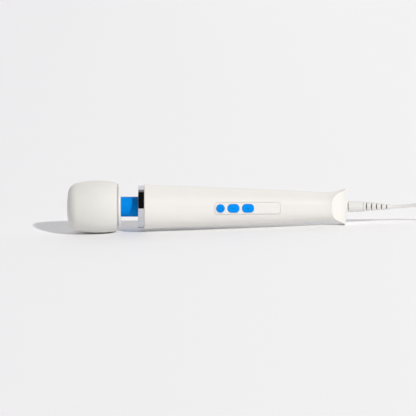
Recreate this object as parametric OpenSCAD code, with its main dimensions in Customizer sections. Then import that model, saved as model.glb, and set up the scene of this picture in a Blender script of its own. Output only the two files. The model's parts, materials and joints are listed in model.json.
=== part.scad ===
// Handheld wand massager: a soft round head on a flexible neck, a bright ring, a long
// tapered handle with three buttons, and a detachable supply lead with a wall adapter.
// Millimetres, +Z up. The wand lies on its side along X, with its head towards -X.

/* [Head and neck] */
// Outside diameter of the soft head
head_d = 62; // [61:0.5:63]
// Length of the head along the wand
head_len = 60.5; // [60:0.5:61.5]
// Radius of the nearly flat front of the head
face_r = 107; // [100:1:115]
// Radius of the shoulder between the head's front and side
shoulder_r = 14; // [13:0.5:15]
// Outside diameter of the flexible neck
neck_d = 23.6; // [23:0.2:24.2]
// Gap between the head and the ring, where the neck shows
neck_gap = 23.5; // [23:0.5:24.5]

/* [Handle] */
// Length of the wand, from the head's tip to the tail
wand_len = 330; // [328:1:334]
// Outside diameter of the bright ring
ring_d = 51; // [50.5:0.5:52]
// Width of the bright ring along the wand
ring_w = 7.2; // [7:0.1:7.6]
// Diameter of the handle behind the ring
grip_d = 52.6; // [52:0.2:54]
// Diameter of the handle at its waist, before the tail flares
waist_d = 34.2; // [34:0.2:36]
// Diameter of the flared tail
tail_d = 43; // [42:0.5:44]
// Radius of the two scoops cut into the sides of the tail
scoop_r = 19.5; // [19:0.1:20]
// Wall thickness of the handle shells
wall = 2.5; // [2.3:0.1:2.7]
// Angle that the resting wand is rolled by, so that its buttons face slightly upward
rest_roll = 4; // [0:1:8]

/* [Controls] */
// Length of the inlaid button panel
panel_len = 78; // [76:1:80]
// Width of the inlaid button panel
panel_w = 14.4; // [14:0.2:15]
// Diameter of the round power button
power_d = 9.9; // [9.5:0.1:10.2]
// Length of each speed button
speed_len = 13.7; // [13:0.1:14]
// Width of each speed button
speed_w = 10; // [9.6:0.1:10.4]
// How far a button travels
press = 0.8; // [0.5:0.1:0.8]

/* [Supply lead] */
// Diameter of the lead
cord_d = 4.2; // [4:0.1:4.4]
// Diameter of the moulded plug
plug_d = 13.2; // [12:0.2:13.4]
// Radius of the coil's middle
coil_mid_r = 23.5; // [23:0.5:24]
// Length of the wall adapter's case
adapter_len = 62; // [60:1:64]
// Width of the wall adapter's case
adapter_w = 42; // [40:1:44]
// Height of the wall adapter's case as it lies
adapter_h = 28; // [26:1:30]

/* [Hidden] */

off_white = [0.93, 0.92, 0.89];
bright_blue = [0.0, 0.55, 0.98];
steel = [0.62, 0.63, 0.65];
copper = [0.78, 0.45, 0.25];
dark_rubber = [0.12, 0.12, 0.13];

// Small gap between separate pieces of one assembly
gap = 0.1;
// Running clearance of a shaft in its bearing, on the radius
run = 0.02;
steps = 8;

// Stations along the wand, measured from the head's tip
ring_x = head_len + neck_gap;
shell_x = ring_x + ring_w + gap;
waist_x = wand_len - 26;
cavity_end = wand_len - 30;
widest_x = 36;
lip = 1;
bezel_x = wand_len + 2;
bezel_r = 6.2;
relief_x = wand_len + 20.5;
relief_end = wand_len + 53.4;

// ---- Outlines: each point is [distance from the head's tip, radius] ----

function unit(v) = v / norm(v);
function angle_of(v) = atan2(v.y, v.x);
function arc(centre, r, from, to, n = steps) =
    [for (i = [0:n]) let (a = from + (to - from) * i / n) centre + r * [cos(a), sin(a)]];

// The point above the line from a to b that is ra from a and rb from b
function crossing(a, ra, b, rb) =
    let (d = norm(b - a), t = (ra * ra - rb * rb + d * d) / (2 * d),
         u = unit(b - a), h = sqrt(ra * ra - t * t))
    a + t * u + h * [-u.y, u.x];

// The head's outline is a shallow front arc, a shoulder and a long side arc
side_r = 110;
face_c = [face_r, 0];
side_c = [widest_x, head_d / 2 - side_r];
shoulder_c = crossing(side_c, side_r - shoulder_r, face_c, face_r - shoulder_r);
face_end = angle_of(shoulder_c - face_c);
side_start = angle_of(shoulder_c - side_c);
band_x = head_len - 6.5;
side_end = acos((band_x - widest_x) / side_r);
head_outline = concat(
    arc(face_c, face_r, 180, face_end, 5),
    arc(shoulder_c, shoulder_r, face_end, side_start),
    arc(side_c, side_r, side_start, side_end)
);

// The handle tapers with a slight swell, then flares along one arc into the tail
swell = 0.5;
run_len = waist_x - shell_x;
function grip_r(x) =
    let (t = (x - shell_x) / run_len)
    grip_d / 2 + (waist_d - grip_d) / 2 * t + 4 * swell * t * (1 - t);
waist_slope = atan(((waist_d - grip_d) / 2 - 4 * swell) / run_len);
flare = [wand_len - lip - waist_x, (tail_d - waist_d) / 2];
flare_n = [-sin(waist_slope), cos(waist_slope)];
flare_r = (flare * flare) / (2 * flare * flare_n);
flare_c = [waist_x, waist_d / 2] + flare_r * flare_n;
flare_stop = asin((wand_len - lip - flare_c.x) / flare_r);

function taper(inset) =
    [for (i = [0:6]) let (x = shell_x + run_len * i / 6) [x, grip_r(x) - inset]];
flare_outline = arc(flare_c, flare_r, waist_slope - 90, flare_stop - 90);
tail_lip = arc([wand_len - lip, tail_d / 2 - lip], lip, 90, 0, 3);

// ---- How the wand rests: head and tail on the floor, middle of its box over the origin ----

tail_c = [wand_len - lip, tail_d / 2 - lip];
rest_span = tail_c - side_c;
rest_tilt = atan2(rest_span.x, rest_span.y) - acos((side_r - lip) / norm(rest_span));
tip_z = tail_c.x * sin(rest_tilt) + tail_c.y * cos(rest_tilt) + lip;
tip_x = -(bezel_x * cos(rest_tilt) + bezel_r * sin(rest_tilt)) / 2;

module wand() {
    translate([tip_x, 0, tip_z]) rotate([0, rest_tilt, 0]) rotate([-rest_roll, 0, 0]) children();
}
function on_axis(x) = [tip_x + x * cos(rest_tilt), 0, tip_z - x * sin(rest_tilt)];

// ---- Building blocks ----

// A solid of revolution about the wand's axis
module turned(points) {
    rotate([0, 90, 0]) rotate_extrude($fn = 96) polygon([for (p = points) [p.y, p.x]]);
}

module tube(from, to, outer, inner = 0) {
    turned([[from, inner], [to, inner], [to, outer], [from, outer]]);
}

// A round bar across the wand, along Y
module cross_bar(x, z, from, to, r) {
    translate([x, from, z]) rotate([-90, 0, 0]) cylinder(h = to - from, r = r, $fn = 48);
}

// A flat outline pushed out through the button side, between two depths
module facing(x, inner, outer) {
    translate([x, -inner, 0]) rotate([90, 0, 0]) linear_extrude(height = outer - inner) children();
}

// Corners of a rectangle with rounded ends, as one polygon
module rounded(length, width, r) {
    polygon([for (q = [[1, 1, 0], [-1, 1, 90], [-1, -1, 180], [1, -1, 270]])
        for (p = arc([q.x * (length / 2 - r), q.y * (width / 2 - r)], r, q.z, q.z + 90, 5)) p]);
}

// A block by its two opposite corners
module block(low, high) {
    translate(low) cube(high - low);
}

// A round tube swept along points, closed at both ends
module swept(points, r, sides = 8) {
    n = len(points);
    rings = [for (i = [0:n - 1])
        let (t = unit(points[min(i + 1, n - 1)] - points[max(i - 1, 0)]),
             u = unit(cross(t, [0, 0, 1])), w = cross(u, t))
        for (k = [0:sides - 1])
            points[i] + r * (cos(360 * k / sides) * u + sin(360 * k / sides) * w)];
    skin = [for (i = [0:n - 2]) for (k = [0:sides - 1])
        let (a = i * sides + k, b = i * sides + (k + 1) % sides)
        for (f = [[a, b, a + sides], [b, b + sides, a + sides]]) f];
    ends = [[for (k = [sides - 1:-1:0]) k], [for (k = [0:sides - 1]) (n - 1) * sides + k]];
    polyhedron(points = rings, faces = concat(skin, ends));
}

// ---- Head: a soft cap over a hard core that holds the spinning weight ----

cap_end = head_len - 1.1;
cap_bore = 26.2;
core_r = cap_bore - 0.2;
plate_x = 56;
shaft_r = 3;
bearing_r = 7.5;
bearing_w = 5;
front_bearing_x = 8.4;
rear_bearing_x = 49.4;
head_screw_r = 20.2;
head_screw_angles = [45, 135, 225, 315];
cover_r = 23;
cover_edge = 1.8;
cover_end = head_len + 3.1;

module head_cushion() {
    color([0.9, 0.89, 0.86]) wand() turned(concat(
        head_outline,
        [[cap_end - 0.8, 28.6], [cap_end, 27.8], [cap_end, cap_bore]],
        [[14, cap_bore], [9, 22.5], [5, 17], [5, 0]]
    ));
}

module at_head_screws() {
    for (a = head_screw_angles) rotate([a, 0, 0]) translate([0, 0, head_screw_r]) children();
}

module head_shell() {
    color(off_white) wand() difference() {
        union() {
            turned([[5.2, 0], [5.2, 16.8], [9.2, 22.2], [14.2, core_r], [plate_x, core_r],
                [plate_x, 23.4], [15.5, 23.4], [11.5, 19.5], [8.2, 15.5], [8.2, 0]]);
            tube(8, front_bearing_x + bearing_w, 11, bearing_r + run);
            at_head_screws() rotate([0, 90, 0]) translate([0, 0, 44]) cylinder(h = 12, r = 3.4, $fn = 48);
        }
        at_head_screws() rotate([0, 90, 0]) translate([0, 0, 45]) cylinder(h = 12, r = 1.52, $fn = 48);
    }
}

module head_back_plate() {
    color([0.8, 0.8, 0.79]) wand() difference() {
        turned([[rear_bearing_x, bearing_r + run], [rear_bearing_x + bearing_w, bearing_r + run],
            [rear_bearing_x + bearing_w, 5.6], [55.4, 5.6], [55.4, 8.02], [head_len, 8.02],
            [head_len, 27], [head_len - 0.3, 27.3], [cap_end + gap, 27.3], [cap_end + gap, core_r],
            [plate_x + gap, core_r], [plate_x + gap, 11], [rear_bearing_x, 11]]);
        at_head_screws() rotate([0, 90, 0]) translate([0, 0, 50]) cylinder(h = 20, r = 1.52, $fn = 48);
        at_head_screws() rotate([0, 90, 0]) translate([0, 0, 58.6]) cylinder(h = 10, r = 3, $fn = 48);
    }
}

// A round cap that hides the head's screws and leaves a hole for the neck
module head_rear_cover() {
    front = head_len + gap;
    bore = neck_r - neck_wall + gap;
    color(off_white) wand() turned(concat(
        [[front, bore], [front, cover_r - 0.4], [front + 0.4, cover_r]],
        arc([cover_end - cover_edge, cover_r - cover_edge], cover_edge, 90, 0, 4),
        [[cover_end, bore]]
    ));
}

module head_screws() {
    color(steel) wand() at_head_screws() rotate([0, 90, 0]) {
        translate([0, 0, 46]) cylinder(h = 13, r = 1.5, $fn = 48);
        translate([0, 0, 58.7]) cylinder(h = 1.5, r = 2.8, $fn = 48);
    }
}

module head_bearing(x) {
    difference() {
        tube(x, x + bearing_w, bearing_r, shaft_r + run);
        tube(x - 1, x + 0.4, 6.4, 4.2);
        tube(x + bearing_w - 0.4, x + bearing_w + 1, 6.4, 4.2);
    }
}

module front_head_bearing() {
    color(steel) wand() head_bearing(front_bearing_x);
}

module rear_head_bearing() {
    color(steel) wand() head_bearing(rear_bearing_x);
}

// ---- Spinning weight: half a disc on a shaft, heavy side down at rest ----

weight_x = 18;
weight_end = 42;
weight_r = 18;
hub_r = 7;
set_screw_x = 30;

module weight_shaft() {
    color(steel) wand() tube(front_bearing_x + 0.2, 68, shaft_r);
}

module eccentric_weight() {
    color([0.45, 0.46, 0.48]) wand() difference() {
        union() {
            tube(weight_x, weight_end, hub_r);
            intersection() {
                tube(weight_x, weight_end, weight_r);
                block([0, -20, -20], [60, 20, 0]);
            }
        }
        tube(weight_x - 1, weight_end + 1, shaft_r + 0.01);
        translate([set_screw_x, 0, 1]) cylinder(h = 10, r = 2.02, $fn = 48);
    }
}

module weight_set_screw() {
    color([0.2, 0.2, 0.22]) wand() translate([set_screw_x, 0, shaft_r + 0.15]) difference() {
        cylinder(h = 3.6, r = 2, $fn = 48);
        translate([0, 0, 2.2]) cylinder(h = 3, r = 1.1, $fn = 6);
    }
}

// ---- Flexible neck between the head and the handle ----

neck_r = neck_d / 2;
neck_wall = 1.6;
spring_wire = 1.6;
spring_r = 9.3;
spring_turns = 11;
collar_r = 8.4;
collar_bore = 6;
collar_grip = 6;
neck_front_end = head_len + collar_grip;
neck_rear_start = ring_x - collar_grip;
housing_x = ring_x + 2.7;
housing_end = shell_x + 4.2;

module neck_front_collar() {
    color([0.75, 0.76, 0.78]) wand() turned([[55.5, collar_bore], [neck_front_end, collar_bore],
        [neck_front_end, collar_r], [head_len + gap, collar_r], [head_len + gap, 8], [55.5, 8]]);
}

module neck_rear_collar() {
    color([0.75, 0.76, 0.78]) wand() turned([[neck_rear_start, collar_bore], [housing_end + 2, collar_bore],
        [housing_end + 2, 14], [housing_end + gap, 14], [housing_end + gap, collar_r],
        [neck_rear_start, collar_r]]);
}

module neck_housing() {
    color(off_white) wand() turned([[housing_x, collar_r + gap], [housing_end, collar_r + gap],
        [housing_end, 23.2], [shell_x, 23.2], [shell_x, 22.6], [housing_x, 22.6]]);
}

module neck_sleeve() {
    color(bright_blue) wand() tube(cover_end + gap, housing_x - gap, neck_r, neck_r - neck_wall);
}

// The spring's closed turns
module neck_spring() {
    first = head_len + 1.5;
    pitch = (neck_gap - 1.5) / spring_turns;
    color(steel) wand() rotate([0, 90, 0])
        for (i = [0:spring_turns]) translate([0, 0, first + pitch * i])
            rotate_extrude($fn = 64) translate([spring_r, 0]) circle(d = spring_wire, $fn = 24);
}

// A flexible sleeve that joins the motor's shaft to the weight's shaft
module drive_coupling() {
    color(dark_rubber) wand() difference() {
        tube(62.6, 87, 4.6);
        tube(62, 68.3, shaft_r + 0.01);
        tube(80.2, 88, 2.51);
    }
}

// ---- Handle: two shells that meet along the wand's middle plane ----

posts = [[100, 19.5], [168, 15.5], [284, 11.3]];
post_r = 3.4;
screw_seat = 8;
scoop_y = scoop_r + 7;
panel_x = 173.9 + panel_len / 2;
panel_depth = 1.2;
panel_gap = 0.35;
panel_corner = 3;
key_gap = 0.25;
key_corner = 4.3;
key_flange = 0.7;
power_x = 180.9;
minus_x = 196.2;
plus_x = 213.4;
board_out = 12;
board_posts = [[176.5, 7], [232, 6]];

module handle_solid() {
    turned(concat([[shell_x, 0], [shell_x, grip_d / 2 - 0.5], [shell_x + 0.5, grip_d / 2 - 0.02]],
        [for (i = [1:6]) taper(0)[i]],
        [for (i = [1:steps]) flare_outline[i]],
        [for (i = [1:3]) tail_lip[i]],
        [[wand_len, 0]]));
}

module handle_cavity() {
    turned(concat([[shell_x - 1, 0], [shell_x - 1, grip_d / 2 - wall]],
        [for (p = taper(wall)) if (p.x < cavity_end) p],
        [[cavity_end, grip_r(cavity_end) - wall], [cavity_end, 0]]));
}

module tail_cuts() {
    for (side = [-1, 1])
        translate([wand_len, side * scoop_y, -30]) cylinder(h = 60, r = scoop_r, $fn = 96);
    block([cavity_end - 1, -4.8, -6], [wand_len - 3.5, 4.8, 6]);
    for (side = [-1, 1])
        translate([cavity_end - 1, -4.2, side * 11.5 - 2.5]) cube([24, 8.4, 5]);
    tube(wand_len - 5, wand_len + 1, 4.4);
}

module at_posts() {
    for (p = posts) for (side = [-1, 1]) translate([p.x, 0, side * p.y]) children();
}

// Screw posts, trimmed to stay inside the handle's skin
module post_ribs(from, to) {
    intersection() {
        at_posts() cross_bar(0, 0, from, to, post_r);
        turned(concat([[shell_x, 0]], taper(0.9), [[waist_x, 0]]));
    }
}

module key_outline(grow) {
    translate([power_x, 0]) circle(d = power_d + 2 * grow, $fn = 64);
    for (x = [minus_x, plus_x])
        translate([x, 0]) rounded(speed_len + 2 * grow, speed_w + 2 * grow, key_corner + grow);
}

module handle_front_shell() {
    color(off_white) wand() difference() {
        union() {
            intersection() {
                difference() {
                    handle_solid();
                    handle_cavity();
                }
                block([80, -40, -40], [340, -gap / 2, 40]);
            }
            post_ribs(-25, -gap / 2);
            intersection() {
                for (p = board_posts) for (side = [-1, 1])
                    cross_bar(p.x, side * p.y, -22, -board_out - 0.05, 1.8);
                turned(concat([[shell_x, 0]], taper(1.6), [[waist_x, 0]]));
            }
        }
        tail_cuts();
        at_posts() cross_bar(0, 0, -9, 1, 1.22);
        for (p = board_posts) for (side = [-1, 1]) cross_bar(p.x, side * p.y, -16, -9, 0.82);
        difference() {
            facing(panel_x, 10, 30) rounded(panel_len, panel_w, panel_corner);
            turned(concat([[shell_x, 0]], taper(panel_depth), [[waist_x, 0]]));
        }
        facing(0, 10, 30) key_outline(key_gap);
    }
}

module handle_back_shell() {
    color(off_white) wand() difference() {
        union() {
            intersection() {
                difference() {
                    handle_solid();
                    handle_cavity();
                }
                block([80, gap / 2, -40], [340, 40, 40]);
            }
            post_ribs(gap / 2, 25);
        }
        tail_cuts();
        at_posts() cross_bar(0, 0, -1, 30, 1.35);
        at_posts() cross_bar(0, 0, screw_seat, 30, 2.5);
    }
}

module handle_screws() {
    color(steel) wand() at_posts() difference() {
        union() {
            cross_bar(0, 0, -8.5, screw_seat + 0.2, 1.2);
            cross_bar(0, 0, screw_seat + 0.02, screw_seat + 1.8, 2.3);
        }
        translate([-0.35, screw_seat + 1, -1.5]) cube([0.7, 2, 3]);
        translate([-1.5, screw_seat + 1, -0.35]) cube([3, 2, 0.7]);
    }
}

module chrome_ring() {
    color([0.85, 0.85, 0.87]) wand() turned([[ring_x, neck_r + 0.6], [ring_x + 2.4, neck_r + 0.6],
        [ring_x + 2.4, 22.8], [shell_x - gap, 22.8], [shell_x - gap, ring_d / 2 - 0.3],
        [shell_x - gap - 0.3, ring_d / 2], [ring_x + 0.4, ring_d / 2], [ring_x, ring_d / 2 - 0.4]]);
}

// ---- Motor ----

motor_x = 104;
motor_end = 152;
motor_r = 19;
motor_shaft_r = 2.5;
bush_r = 4;
poles = 7;

module motor_can() {
    color([0.5, 0.51, 0.53]) wand() turned([[motor_x, bush_r + run], [motor_x + 1.6, bush_r + run],
        [motor_x + 1.6, 17.6], [motor_end, 17.6], [motor_end, motor_r], [motor_x, motor_r]]);
}

module motor_end_cap() {
    color([0.15, 0.15, 0.16]) wand() {
        turned([[motor_end + gap, bush_r + run], [motor_end + 6, bush_r + run], [motor_end + 6, 8],
            [motor_end + 3, 12], [motor_end + 3, motor_r], [motor_end + gap, motor_r]]);
        for (side = [-1, 1])
            translate([motor_end - 7, -3.4, side * 12.7 - 1.6]) cube([7.5, 6.8, 3.2]);
    }
}

module motor_magnets() {
    color([0.25, 0.25, 0.27]) wand() difference() {
        tube(109, 143, 17.5, 12.7);
        block([100, -4, -20], [150, 4, 20]);
    }
}

module front_motor_bush() {
    color([0.72, 0.55, 0.3]) wand() tube(motor_x - 1.5, motor_x + 4, bush_r, motor_shaft_r + run);
}

module rear_motor_bush() {
    color([0.72, 0.55, 0.3]) wand() tube(motor_end + 0.6, motor_end + 5.8, bush_r, motor_shaft_r + run);
}

module armature_core() {
    color([0.4, 0.41, 0.44]) wand() difference() {
        tube(112, 138, 12.2, motor_shaft_r + 0.01);
        for (i = [0:poles - 1])
            rotate([360 * i / poles, 0, 0]) translate([111, 0, 9.6]) rotate([0, 90, 0])
                cylinder(h = 28, r = 1.9, $fn = 32);
    }
}

module armature_windings() {
    color(copper) wand() {
        tube(108.5, 111.9, 11.2, 4.4);
        tube(138.1, 141.5, 11.2, 4.4);
        for (i = [0:poles - 1])
            rotate([360 * i / poles, 0, 0]) translate([111.5, 0, 9.6]) rotate([0, 90, 0])
                cylinder(h = 27, r = 1.7, $fn = 32);
    }
}

module commutator() {
    color(copper) wand() difference() {
        tube(144.6, 151, 5.5, motor_shaft_r + 0.01);
        for (i = [0:poles - 1])
            rotate([360 * i / poles, 0, 0]) translate([144, -0.25, 4.4]) cube([8, 0.5, 3]);
    }
}

module motor_shaft() {
    color(steel) wand() tube(80.4, motor_end + 6.5, motor_shaft_r);
}

module motor_brushes() {
    color([0.1, 0.1, 0.1]) wand() for (side = [-1, 1])
        translate([146, -2, side * 8.35 - 2.7]) cube([4, 4, 5.4]);
}

module motor_mount(x) {
    tube(x, x + 6, grip_r(x + 6) - wall - 0.15, motor_r + 0.05);
}

module front_motor_mount() {
    color(dark_rubber) wand() motor_mount(106);
}

module rear_motor_mount() {
    color(dark_rubber) wand() motor_mount(143);
}

// ---- Controls: a board behind three sprung buttons in an inlaid panel ----

board_in = board_out - 1.6;
switch_x = [power_x, minus_x, plus_x];
switch_h = 3.5;
plunger_h = 0.8;
rest_gap = press + 0.1;
stem_end = board_out + switch_h + plunger_h + rest_gap;
proud = 0.45;
flange_t = 0.7;

module control_board() {
    color([0.08, 0.35, 0.2]) wand() difference() {
        block([173, -board_out, -9], [250, -board_in, 9]);
        for (p = board_posts) for (side = [-1, 1]) cross_bar(p.x, side * p.y, -14, -8, 0.9);
    }
}

module board_parts() {
    color([0.18, 0.18, 0.2]) wand() {
        block([197, -board_in + 0.02, -5], [207, -8.9, 5]);
        cross_bar(222, 0, -board_in + 0.02, -2.4, 4);
        cross_bar(187, 0, -board_in + 0.02, -5.4, 4.5);
        block([173.5, -board_in + 0.02, -2.8], [179, -5, 2.8]);
        block([243, -board_in + 0.02, -4], [249.5, -5, 4]);
    }
}

module tact_switches() {
    color([0.1, 0.1, 0.11]) wand() for (x = switch_x) {
        block([x - 3, -board_out - switch_h, -3], [x + 3, -board_out - 0.02, 3]);
        cross_bar(x, 0, -board_out - switch_h - plunger_h, -board_out - 1, 1.75);
    }
}

module indicator_leds() {
    color([0.9, 0.9, 0.8]) wand() for (i = [0:3])
        block([223 + 7 * i, -board_out - 1.2, -1.2], [225.4 + 7 * i, -board_out - 0.02, 1.2]);
}

module board_screws() {
    color(steel) wand() for (p = board_posts) for (side = [-1, 1]) {
        cross_bar(p.x, side * p.y, -15.5, -board_in + 0.2, 0.8);
        cross_bar(p.x, side * p.y, -board_in + 0.02, -board_in + 1.2, 1.6);
    }
}

module keypad_panel() {
    color([0.96, 0.95, 0.93]) wand() difference() {
        intersection() {
            facing(panel_x, 10, 30)
                rounded(panel_len - 2 * panel_gap, panel_w - 2 * panel_gap, panel_corner - panel_gap);
            turned(concat([[shell_x, 0]], taper(0.02), [[waist_x, 0]]));
        }
        turned(concat([[shell_x, 0]], taper(panel_depth - 0.05), [[waist_x, 0]]));
        facing(0, 10, 30) key_outline(key_gap);
    }
}

// One button: a cap that follows the handle's curve, with a retaining flange behind it
module key_cap(x) {
    intersection() {
        facing(x, stem_end + 0.4, 30) children(0);
        turned(concat([[shell_x, 0]], taper(-proud), [[waist_x, 0]]));
    }
    facing(x, stem_end, stem_end + flange_t) children(1);
}

module speed_key(x) {
    key_cap(x) {
        rounded(speed_len, speed_w, key_corner);
        rounded(speed_len + 2 * key_flange, speed_w + 2 * key_flange, key_corner + key_flange);
    }
}

module power_button() {
    color(bright_blue) wand() key_cap(power_x) {
        circle(d = power_d, $fn = 64);
        circle(d = power_d + 2 * key_flange, $fn = 64);
    }
}

module minus_button() {
    color(bright_blue) wand() speed_key(minus_x);
}

module plus_button() {
    color(bright_blue) wand() speed_key(plus_x);
}

// ---- Supply socket and the wires inside the handle ----

jack_x = wand_len - 27;
jack_end = wand_len - 3.6;
barrel_r = 2.75;
barrel_bore = 1.05;

module dc_jack() {
    color([0.1, 0.1, 0.1]) wand() {
        difference() {
            block([jack_x, -4.6, -5.6], [jack_end, 4.6, 5.6]);
            tube(wand_len - 14, wand_len, barrel_r + 0.05);
        }
        tube(wand_len - 14.5, wand_len - 5, barrel_bore - 0.05);
    }
}

module jack_bezel() {
    color(off_white) wand() tube(wand_len + 0.02, bezel_x, bezel_r, 4.4);
}

module motor_leads() {
    color([0.7, 0.1, 0.1]) wand() for (side = [-1, 1])
        swept([[158.3, -5, 6 * side], [161, -5.2, 5.6 * side], [164, -6, 4.4 * side],
            [167, -7, 3 * side], [170, -7.4, 2 * side], [173.3, -7.5, 1.6 * side]], 0.8);
}

module supply_leads() {
    color([0.7, 0.1, 0.1]) wand() for (side = [-1, 1])
        swept([[249.8, -7.6, 2 * side], [256, -7.4, 2.4 * side], [264, -6.2, 3 * side],
            [273, -4, 3.4 * side], [282, -2, 3 * side], [291, -0.6, 2.6 * side],
            [298, 0, 2.4 * side], [302.8, 0, 2.4 * side]], 0.8);
}

// ---- Supply lead: plug, relief, cord, coil and adapter ----

cord_r = cord_d / 2;
coil_c = [355, 0];
coil_low = 0.82;
coil_high = 15.95;
coil_half_w = 1.75 * cord_d + 0.05;
// Radius of the coil's turn where the lead comes in, and of the turn where it goes out
entry_r = coil_mid_r + 0.75 * cord_d;
exit_r = coil_mid_r + 1.25 * cord_d;

// The lead droops a little out of its relief, makes a low hump and drifts onto the coil's front.
// Each entry is [x, share of the sideways drift, height].
droop = [0, 0, -0.5];
lead_shape = [
    [228, 0.03, 19.5], [238, 0.11, 20.4], [248, 0.21, 21.3], [258, 0.325, 21.8], [268, 0.445, 21.5],
    [278, 0.56, 20], [288, 0.665, 17.2], [298, 0.76, 13.6], [308, 0.84, 9.9], [318, 0.905, 6.7],
    [328, 0.95, 4.4], [338, 0.98, 3.2], [347, 0.995, 2.92], [355, 1, 2.92]
];
lead_route = concat(
    [on_axis(wand_len + 42), on_axis(relief_end + 0.6) + droop],
    [for (p = lead_shape) [p.x, -entry_r * p.y, p.z]]
);
tail_route = [
    [355, -exit_r, 13.84], [364, -exit_r + 0.2, 13.8], [373, -27.6, 12.6], [382, -25, 10.4],
    [391, -21.2, 8.6], [400, -16.8, 7.8], [409, -12.8, 8.2], [417, -10.6, 9], [425, -10, 9.5],
    [434, -10, 9.5]
];

module plug_barrel() {
    color(steel) wand() tube(wand_len - 12.5, wand_len - 2.2, barrel_r, barrel_bore);
}

// Open groove between the socket's bezel and the plug's grip
plug_gap = 1.2;
nose_r = 4.1;

module plug_body() {
    nose_end = bezel_x - 0.3;
    front = bezel_x + plug_gap;
    color(off_white) wand() turned([[wand_len - 2.1, 0], [wand_len - 2.1, nose_r], [nose_end, nose_r],
        [nose_end, nose_r - 1], [front, nose_r - 1], [front, plug_d / 2 - 0.5],
        [front + 0.5, plug_d / 2], [relief_x - 1.4, plug_d / 2 - 0.3],
        [relief_x - 0.9, plug_d / 2 - 0.8], [relief_x - 0.9, 5], [relief_x - gap, 5],
        [relief_x - gap, 0]]);
}

rib_pitch = 6;
rib_count = 5;
groove_w = 1.2;
groove_r = cord_r + 0.25;
function relief_r(x) = 5.9 - 2.9 * (x - relief_x) / (relief_end - relief_x);

module strain_relief() {
    first = relief_x + 3.3;
    color(off_white) wand() turned(concat(
        [[relief_x, 0], [relief_x, relief_r(relief_x)]],
        [for (i = [0:rib_count - 1]) let (a = first + rib_pitch * i, b = a + groove_w)
            for (p = [[a, relief_r(a)], [a + 0.1, groove_r], [b - 0.1, groove_r], [b, relief_r(b)]]) p],
        [[relief_end, relief_r(relief_end)], [relief_end, 0]]
    ));
}

module cord_lead() {
    color(off_white) swept(lead_route, cord_r, 10);
}

module cord_coil() {
    inner = coil_mid_r - coil_half_w;
    outer = coil_mid_r + coil_half_w;
    color(off_white) translate([coil_c.x, coil_c.y, 0]) rotate_extrude($fn = 96)
        polygon([[inner, coil_low + 2], [inner + 1, coil_low], [outer - 1, coil_low],
            [outer, coil_low + 2], [outer, coil_high - 2], [outer - 1, coil_high],
            [inner + 1, coil_high], [inner, coil_high - 2]]);
}

module cord_tail() {
    color(off_white) swept(tail_route, cord_r, 10);
}

// A strap round the back of the coil
module cord_tie() {
    strap = 0.8;
    half = 5;
    low_y = coil_c.y + coil_mid_r - coil_half_w - 0.8;
    high_y = coil_c.y + coil_mid_r + coil_half_w + 0.1;
    color([0.2, 0.2, 0.21]) difference() {
        block([coil_c.x - half, low_y - strap, 0], [coil_c.x + half, high_y + strap, coil_high + strap]);
        block([coil_c.x - 9, low_y, strap], [coil_c.x + 9, high_y, coil_high + 0.05]);
    }
}

// The adapter lies past the coil, with its blades pointing away from the wand
adapter_x = 436;
adapter_y = -10;
face_t = 4;
face_x = adapter_x + adapter_len - face_t;
adapter_end = adapter_x + adapter_len;
case_wall = 2.2;
blade_pitch = 12.7;
blade_out = 17;
blade_t = 1.5;
blade_w = 6.3;
sleeve_len = 20;
sleeve_z = 9.5;

// A length of the adapter's rounded outline, standing across X
module adapter_prism(from, to, inset) {
    translate([from, adapter_y, adapter_h / 2]) rotate([90, 0, 90]) linear_extrude(height = to - from)
        rounded(adapter_w - 2 * inset, adapter_h - 2 * inset, 4 - inset);
}

module adapter_case() {
    color(off_white) difference() {
        adapter_prism(adapter_x, face_x - gap, 0);
        adapter_prism(adapter_x + case_wall, face_x + 1, case_wall);
    }
}

module blade_block(from, to, grow) {
    for (side = [-1, 1])
        translate([from, adapter_y + (side * blade_pitch - blade_t) / 2 - grow,
                   (adapter_h - blade_w) / 2 - grow])
            cube([to - from, blade_t + 2 * grow, blade_w + 2 * grow]);
}

module adapter_face() {
    color(off_white) difference() {
        union() {
            adapter_prism(face_x, adapter_end, 0);
            adapter_prism(face_x - 2, face_x + 1, case_wall + gap);
        }
        blade_block(face_x - 3, adapter_end + 1, 0.05);
    }
}

module adapter_blades() {
    color([0.8, 0.75, 0.55]) blade_block(face_x - 5, adapter_end + blade_out, 0);
}

module adapter_relief() {
    color(off_white) translate([adapter_x - 0.02 - sleeve_len, adapter_y, sleeve_z])
        rotate([0, 90, 0]) cylinder(h = sleeve_len, r1 = 3, r2 = 5, $fn = 64);
}

module adapter_transformer() {
    color([0.75, 0.65, 0.35])
        block([adapter_x + 12, adapter_y - 13, 6.2], [adapter_x + 44, adapter_y + 13, 23]);
}

module adapter_board() {
    color([0.1, 0.4, 0.25])
        block([adapter_x + 4, adapter_y - 17, 4.4], [face_x - 6, adapter_y + 17, 6]);
}

head_cushion();
head_shell();
head_back_plate();
head_rear_cover();
head_screws();
front_head_bearing();
rear_head_bearing();
weight_shaft();
eccentric_weight();
weight_set_screw();
neck_front_collar();
neck_rear_collar();
neck_housing();
neck_sleeve();
neck_spring();
drive_coupling();
chrome_ring();
handle_front_shell();
handle_back_shell();
handle_screws();
motor_can();
motor_end_cap();
motor_magnets();
front_motor_bush();
rear_motor_bush();
armature_core();
armature_windings();
commutator();
motor_shaft();
motor_brushes();
front_motor_mount();
rear_motor_mount();
control_board();
board_parts();
tact_switches();
indicator_leds();
board_screws();
keypad_panel();
power_button();
minus_button();
plus_button();
dc_jack();
jack_bezel();
motor_leads();
supply_leads();
plug_barrel();
plug_body();
strain_relief();
cord_lead();
cord_coil();
cord_tail();
cord_tie();
adapter_case();
adapter_face();
adapter_blades();
adapter_relief();
adapter_transformer();
adapter_board();
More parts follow.
